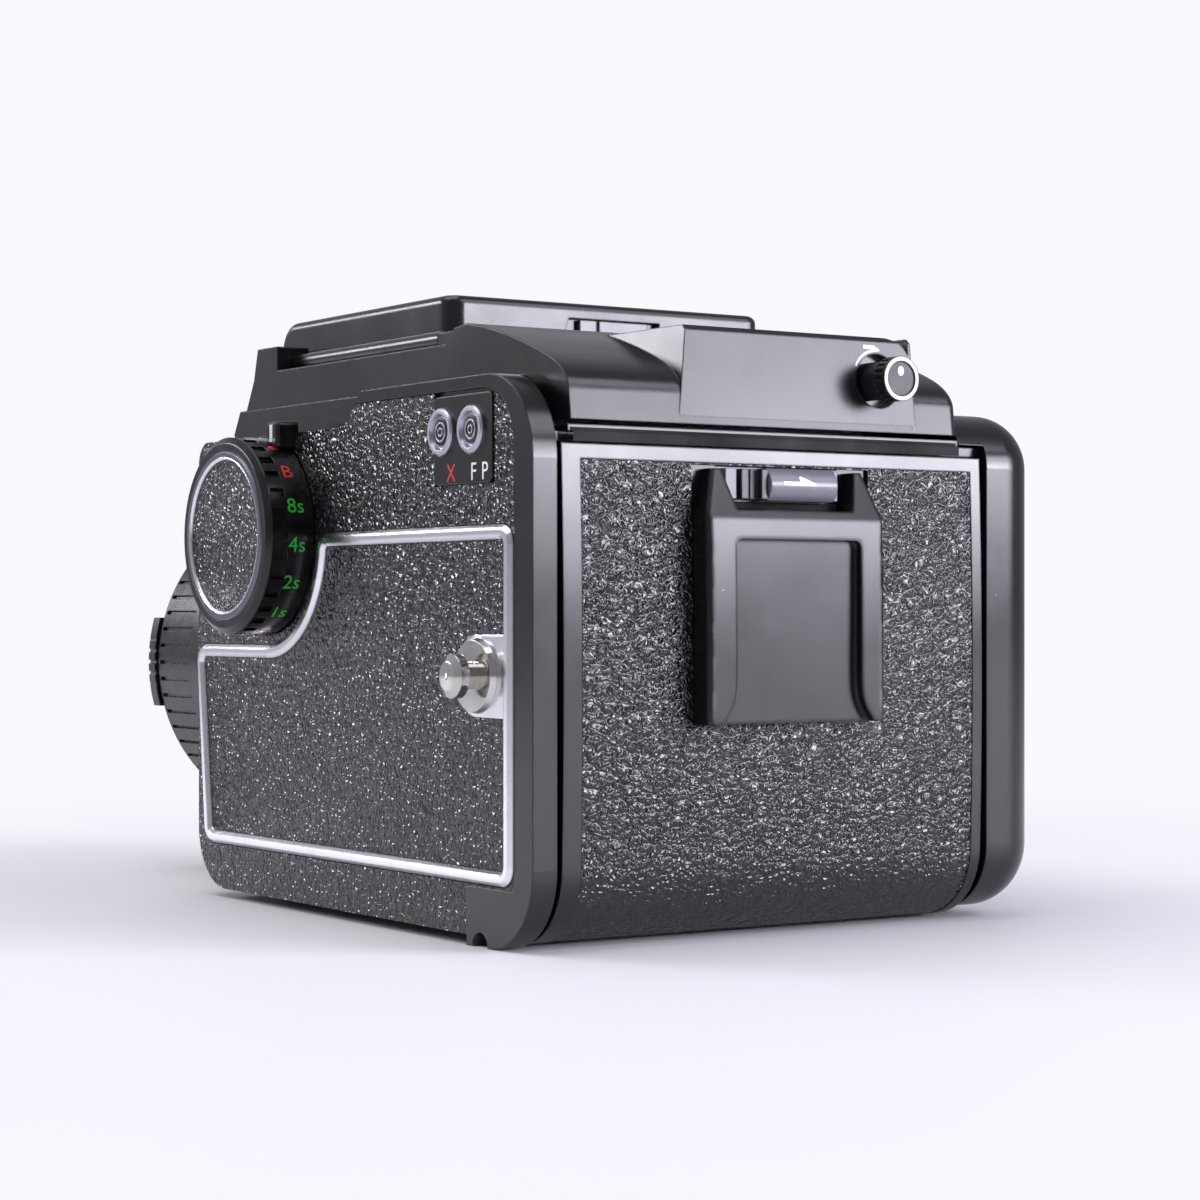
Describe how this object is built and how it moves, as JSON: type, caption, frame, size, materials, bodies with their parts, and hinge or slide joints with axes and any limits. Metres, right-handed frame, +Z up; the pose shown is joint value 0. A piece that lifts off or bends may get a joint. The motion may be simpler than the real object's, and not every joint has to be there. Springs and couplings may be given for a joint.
{
  "type": "medium format film camera",
  "caption": "Box-shaped single lens reflex film camera with a folding waist-level finder, a swing-down film door, a winding crank and a capped focusing lens.",
  "frame": {"origin": "on the base plane, at the axis of the tripod socket", "axes": "+Z up, -Y along the lens towards the subject, +Y towards the film door, +X towards the shutter dial"},
  "size_m": [0.1172, 0.1696, 0.1013],
  "materials": {
    "body_black": "satin black enamel on the casting",
    "leatherette": "coarse black leatherette",
    "door_leatherette": "coarse black leatherette",
    "bright_trim": "bright plating",
    "steel": "turned steel",
    "finder_black": "smooth black paint",
    "latch_grey": "silver-grey anodised",
    "inner_black": "flat black",
    "black_plastic": "moulded black",
    "lens_black": "black anodised, ribbed",
    "clear_glass": "coated",
    "ground_glass": "ground on one side",
    "mirror": "front-silvered",
    "curtain_cloth": "rubberised cloth"
  },
  "bodies": {
    "camera": {"body_shell": "body_black", "left_leather": "leatherette", "left_trim_frame": "bright_trim", "right_cover": "body_black", "counter_window": "clear_glass", "strap_lugs": "steel", "sync_panel": "inner_black", "sync_sockets": "steel", "dial_index_post": "body_black", "lens_mount_ring": "steel", "front_right_leather": "leatherette", "focusing_screen": "ground_glass", "screen_frame": "inner_black", "film_gate": "steel", "shutter_curtains": "curtain_cloth", "top_rail": "bright_trim", "base_plate": "body_black", "base_screws": "steel", "tripod_socket": "steel", "door_hinge_pin": "steel", "film_insert": "inner_black", "pressure_plate": "inner_black", "finder_housing": "finder_black", "lens_barrel": "lens_black", "rear_glass": "clear_glass"},
    "mirror": {"mirror_frame": "inner_black", "mirror_glass": "mirror"},
    "speed_dial": {"shutter_dial": "body_black", "dial_ring": "steel", "dial_leather": "leatherette"},
    "battery_lid": {"battery_cover": "steel"},
    "release_button": {"shutter_button": "steel"},
    "lock_collar": {"button_lock_collar": "body_black"},
    "lens_release": {"lens_release_button": "steel"},
    "mirror_lever": {"mirror_lock_lever": "body_black"},
    "multi_lever": {"multi_exposure_lever": "body_black"},
    "crank": {"crank_hub": "body_black"},
    "crank_fold": {"crank_stem": "steel"},
    "grip": {"crank_grip": "black_plastic"},
    "supply": {"supply_spool": "black_plastic"},
    "takeup": {"takeup_spool": "black_plastic"},
    "door": {"back_door": "body_black", "door_leather": "door_leatherette", "memo_holder": "finder_black"},
    "door_latch": {"door_latch_slider": "latch_grey"},
    "finder_knob": {"finder_release_knob": "body_black"},
    "lid": {"hood_lid": "finder_black", "magnifier_frame": "inner_black", "magnifier_lens": "clear_glass"},
    "lid_catch": {"hood_catch": "steel"},
    "left_flap": {"hood_left_flap": "inner_black"},
    "right_flap": {"hood_right_flap": "inner_black"},
    "rear_flap": {"hood_rear_flap": "inner_black"},
    "aperture": {"aperture_ring": "lens_black"},
    "focus": {"focus_ring": "lens_black"},
    "front_cell": {"lens_front": "lens_black", "front_glass": "clear_glass"},
    "cap": {"lens_cap": "black_plastic"},
    "cap_left": {"cap_tab_left": "black_plastic"},
    "cap_right": {"cap_tab_right": "black_plastic"}
  },
  "joints": [
    {"name": "mirror_swing", "type": "hinge", "parent": "camera", "child": "mirror", "pos_m": [0, 0.00192, 0.05858], "axis": [-1, 0, 0], "range_deg": [0, 45]},
    {"name": "dial_turn", "type": "hinge", "parent": "camera", "child": "speed_dial", "pos_m": [0.0455, -0.0283, 0.0627], "axis": [1, 0, 0], "range_deg": [-40, 290]},
    {"name": "battery_cover_turn", "type": "hinge", "parent": "camera", "child": "battery_lid", "pos_m": [0.024, 0.012, 0], "axis": [0, 0, 1], "range_deg": [0, 90]},
    {"name": "button_press", "type": "slide", "parent": "camera", "child": "release_button", "axis": [0, 1, 0], "range_m": [0, 0.002], "stiffness_N_per_m": 400},
    {"name": "collar_turn", "type": "hinge", "parent": "camera", "child": "lock_collar", "pos_m": [-0.0466, -0.057, 0.017], "axis": [0, 1, 0], "range_deg": [0, 90]},
    {"name": "lens_release_press", "type": "slide", "parent": "camera", "child": "lens_release", "axis": [0, 1, 0], "range_m": [0, 0.002], "stiffness_N_per_m": 400},
    {"name": "mirror_lever_turn", "type": "hinge", "parent": "camera", "child": "mirror_lever", "pos_m": [-0.0535, -0.034, 0.062], "axis": [-1, 0, 0], "range_deg": [0, 60]},
    {"name": "multi_lever_turn", "type": "hinge", "parent": "camera", "child": "multi_lever", "pos_m": [-0.0535, 0.033, 0.066], "axis": [-1, 0, 0], "range_deg": [0, 60]},
    {"name": "crank_turn", "type": "hinge", "parent": "camera", "child": "crank", "pos_m": [-0.0535, 0.002, 0.046], "axis": [1, 0, 0], "continuous": true},
    {"name": "crank_stem_fold", "type": "hinge", "parent": "crank", "child": "crank_fold", "pos_m": [-0.0601, 0.002, 0.0735], "axis": [0, 1, 0], "range_deg": [0, 90]},
    {"name": "crank_grip_spin", "type": "hinge", "parent": "crank_fold", "child": "grip", "pos_m": [-0.0601, 0.002, 0.0735], "axis": [0, 0, 1], "continuous": true},
    {"name": "supply_spool_turn", "type": "hinge", "parent": "camera", "child": "supply", "pos_m": [0, 0.031, 0.0226], "axis": [1, 0, 0], "continuous": true},
    {"name": "takeup_spool_turn", "type": "hinge", "parent": "camera", "child": "takeup", "pos_m": [0, 0.031, 0.0582], "axis": [1, 0, 0], "continuous": true},
    {"name": "door_swing", "type": "hinge", "parent": "camera", "child": "door", "pos_m": [0, 0.041, 0.0027], "axis": [-1, 0, 0], "range_deg": [0, 90]},
    {"name": "door_latch_slide", "type": "slide", "parent": "door", "child": "door_latch", "axis": [-1, 0, 0], "range_m": [0, 0.0022], "stiffness_N_per_m": 300},
    {"name": "finder_knob_turn", "type": "hinge", "parent": "camera", "child": "finder_knob", "pos_m": [-0.019, 0.056, 0.0862], "axis": [0, 1, 0], "range_deg": [0, 60]},
    {"name": "hood_open", "type": "hinge", "parent": "camera", "child": "lid", "pos_m": [0, -0.0426, 0.094], "axis": [1, 0, 0], "range_deg": [0, 90]},
    {"name": "hood_catch_slide", "type": "slide", "parent": "lid", "child": "lid_catch", "axis": [-1, 0, 0], "range_m": [0, 0.002], "stiffness_N_per_m": 200},
    {"name": "left_flap_open", "type": "hinge", "parent": "camera", "child": "left_flap", "pos_m": [0.0347, 0, 0.0933], "axis": [0, 1, 0], "range_deg": [0, 90]},
    {"name": "right_flap_open", "type": "hinge", "parent": "camera", "child": "right_flap", "pos_m": [-0.0347, 0, 0.0933], "axis": [0, -1, 0], "range_deg": [0, 90]},
    {"name": "rear_flap_open", "type": "hinge", "parent": "camera", "child": "rear_flap", "pos_m": [0, 0.0054, 0.0941], "axis": [-1, 0, 0], "range_deg": [0, 90]},
    {"name": "aperture_turn", "type": "hinge", "parent": "camera", "child": "aperture", "pos_m": [0, -0.066, 0.0402], "axis": [0, 1, 0], "range_deg": [0, 60]},
    {"name": "focus_turn", "type": "hinge", "parent": "camera", "child": "focus", "pos_m": [0, -0.09, 0.0402], "axis": [0, 1, 0], "range_deg": [0, 150]},
    {"name": "front_cell_slide", "type": "slide", "parent": "camera", "child": "front_cell", "axis": [0, -1, 0], "range_m": [0, 0.006]},
    {"name": "cap_off", "type": "slide", "parent": "front_cell", "child": "cap", "axis": [0, -1, 0], "range_m": [0, 0.03]},
    {"name": "cap_left_press", "type": "slide", "parent": "cap", "child": "cap_left", "axis": [-1, 0, 0], "range_m": [0, 0.0015], "stiffness_N_per_m": 300},
    {"name": "cap_right_press", "type": "slide", "parent": "cap", "child": "cap_right", "axis": [1, 0, 0], "range_m": [0, 0.0015], "stiffness_N_per_m": 300}
  ],
  "couplings": [
    {"joint": "left_flap_open", "follows": "hood_open", "ratio": 1},
    {"joint": "right_flap_open", "follows": "hood_open", "ratio": 1},
    {"joint": "rear_flap_open", "follows": "hood_open", "ratio": 1},
    {"joint": "front_cell_slide", "follows": "focus_turn", "m_per_rad": 0.0022},
    {"joint": "takeup_spool_turn", "follows": "crank_turn", "ratio": 0.5}
  ]
}
